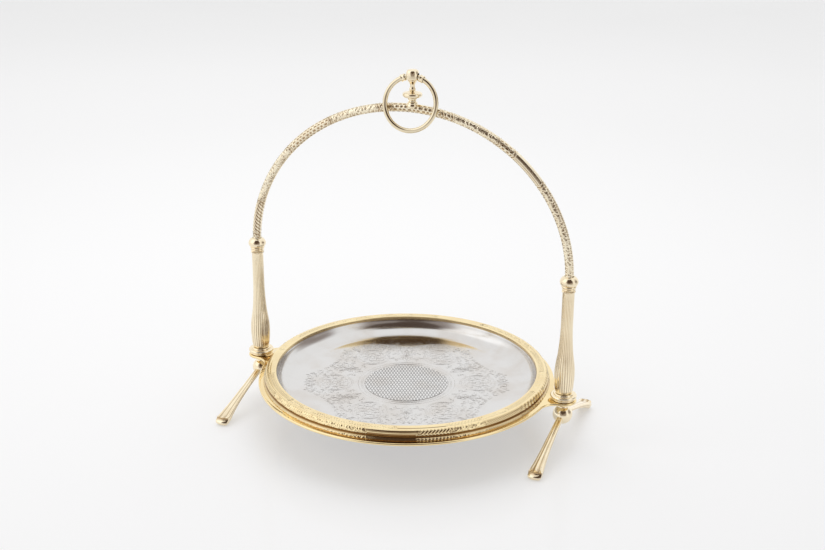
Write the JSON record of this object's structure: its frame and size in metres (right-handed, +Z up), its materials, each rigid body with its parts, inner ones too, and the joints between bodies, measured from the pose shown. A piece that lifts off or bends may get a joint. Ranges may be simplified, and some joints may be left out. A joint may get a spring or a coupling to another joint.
{
  "type": "hanging serving tray",
  "caption": "Round silver serving tray with a gold etched rim, resting in a polished ring carrier on splayed feet, under a patterned arch handle with a loose carrying ring.",
  "frame": {"origin": "centre of the bounding box, on the floor that the toes stand on", "axes": "+X along the arch from the left post to the right one, -Y towards the front where the carrying ring leans, +Z up"},
  "size_m": [0.324, 0.276, 0.3318],
  "materials": {
    "pale_gold": "polished gold plate, champagne tone",
    "etched_gold": "gold plate with an etched and engraved pattern",
    "warm_gold": "mirror-polished gold plate",
    "silver": "polished wall, engraved satin floor",
    "steel": "plain turned"
  },
  "bodies": {
    "stand": {"carrier_ring": "warm_gold", "left_post": "pale_gold", "left_post_collar": "pale_gold", "left_post_knob": "pale_gold", "left_arch_plug": "steel", "left_tie_rod": "steel", "left_foot_hub": "pale_gold", "left_front_leg": "pale_gold", "left_rear_leg": "pale_gold", "right_post": "pale_gold", "right_post_collar": "pale_gold", "right_post_knob": "pale_gold", "right_arch_plug": "steel", "right_tie_rod": "steel", "right_foot_hub": "pale_gold", "right_front_leg": "pale_gold", "right_rear_leg": "pale_gold", "arch_rod": "etched_gold", "finial_saddle": "pale_gold", "finial_spindle": "pale_gold", "finial_stud": "steel"},
    "tray": {"tray_pan": "silver", "tray_rim_band": "etched_gold"},
    "ring": {"carry_ring": "warm_gold", "left_ring_sleeve": "pale_gold", "right_ring_sleeve": "pale_gold"}
  },
  "joints": [
    {"name": "ring_swing", "type": "hinge", "parent": "stand", "child": "ring", "pos_m": [0.0044, 0, 0.32544], "axis": [-1, 0, 0], "range_deg": [0, 332.8]},
    {"name": "tray_lift", "type": "slide", "parent": "stand", "child": "tray", "axis": [0, 0, 1], "range_m": [0, 0.09]}
  ]
}
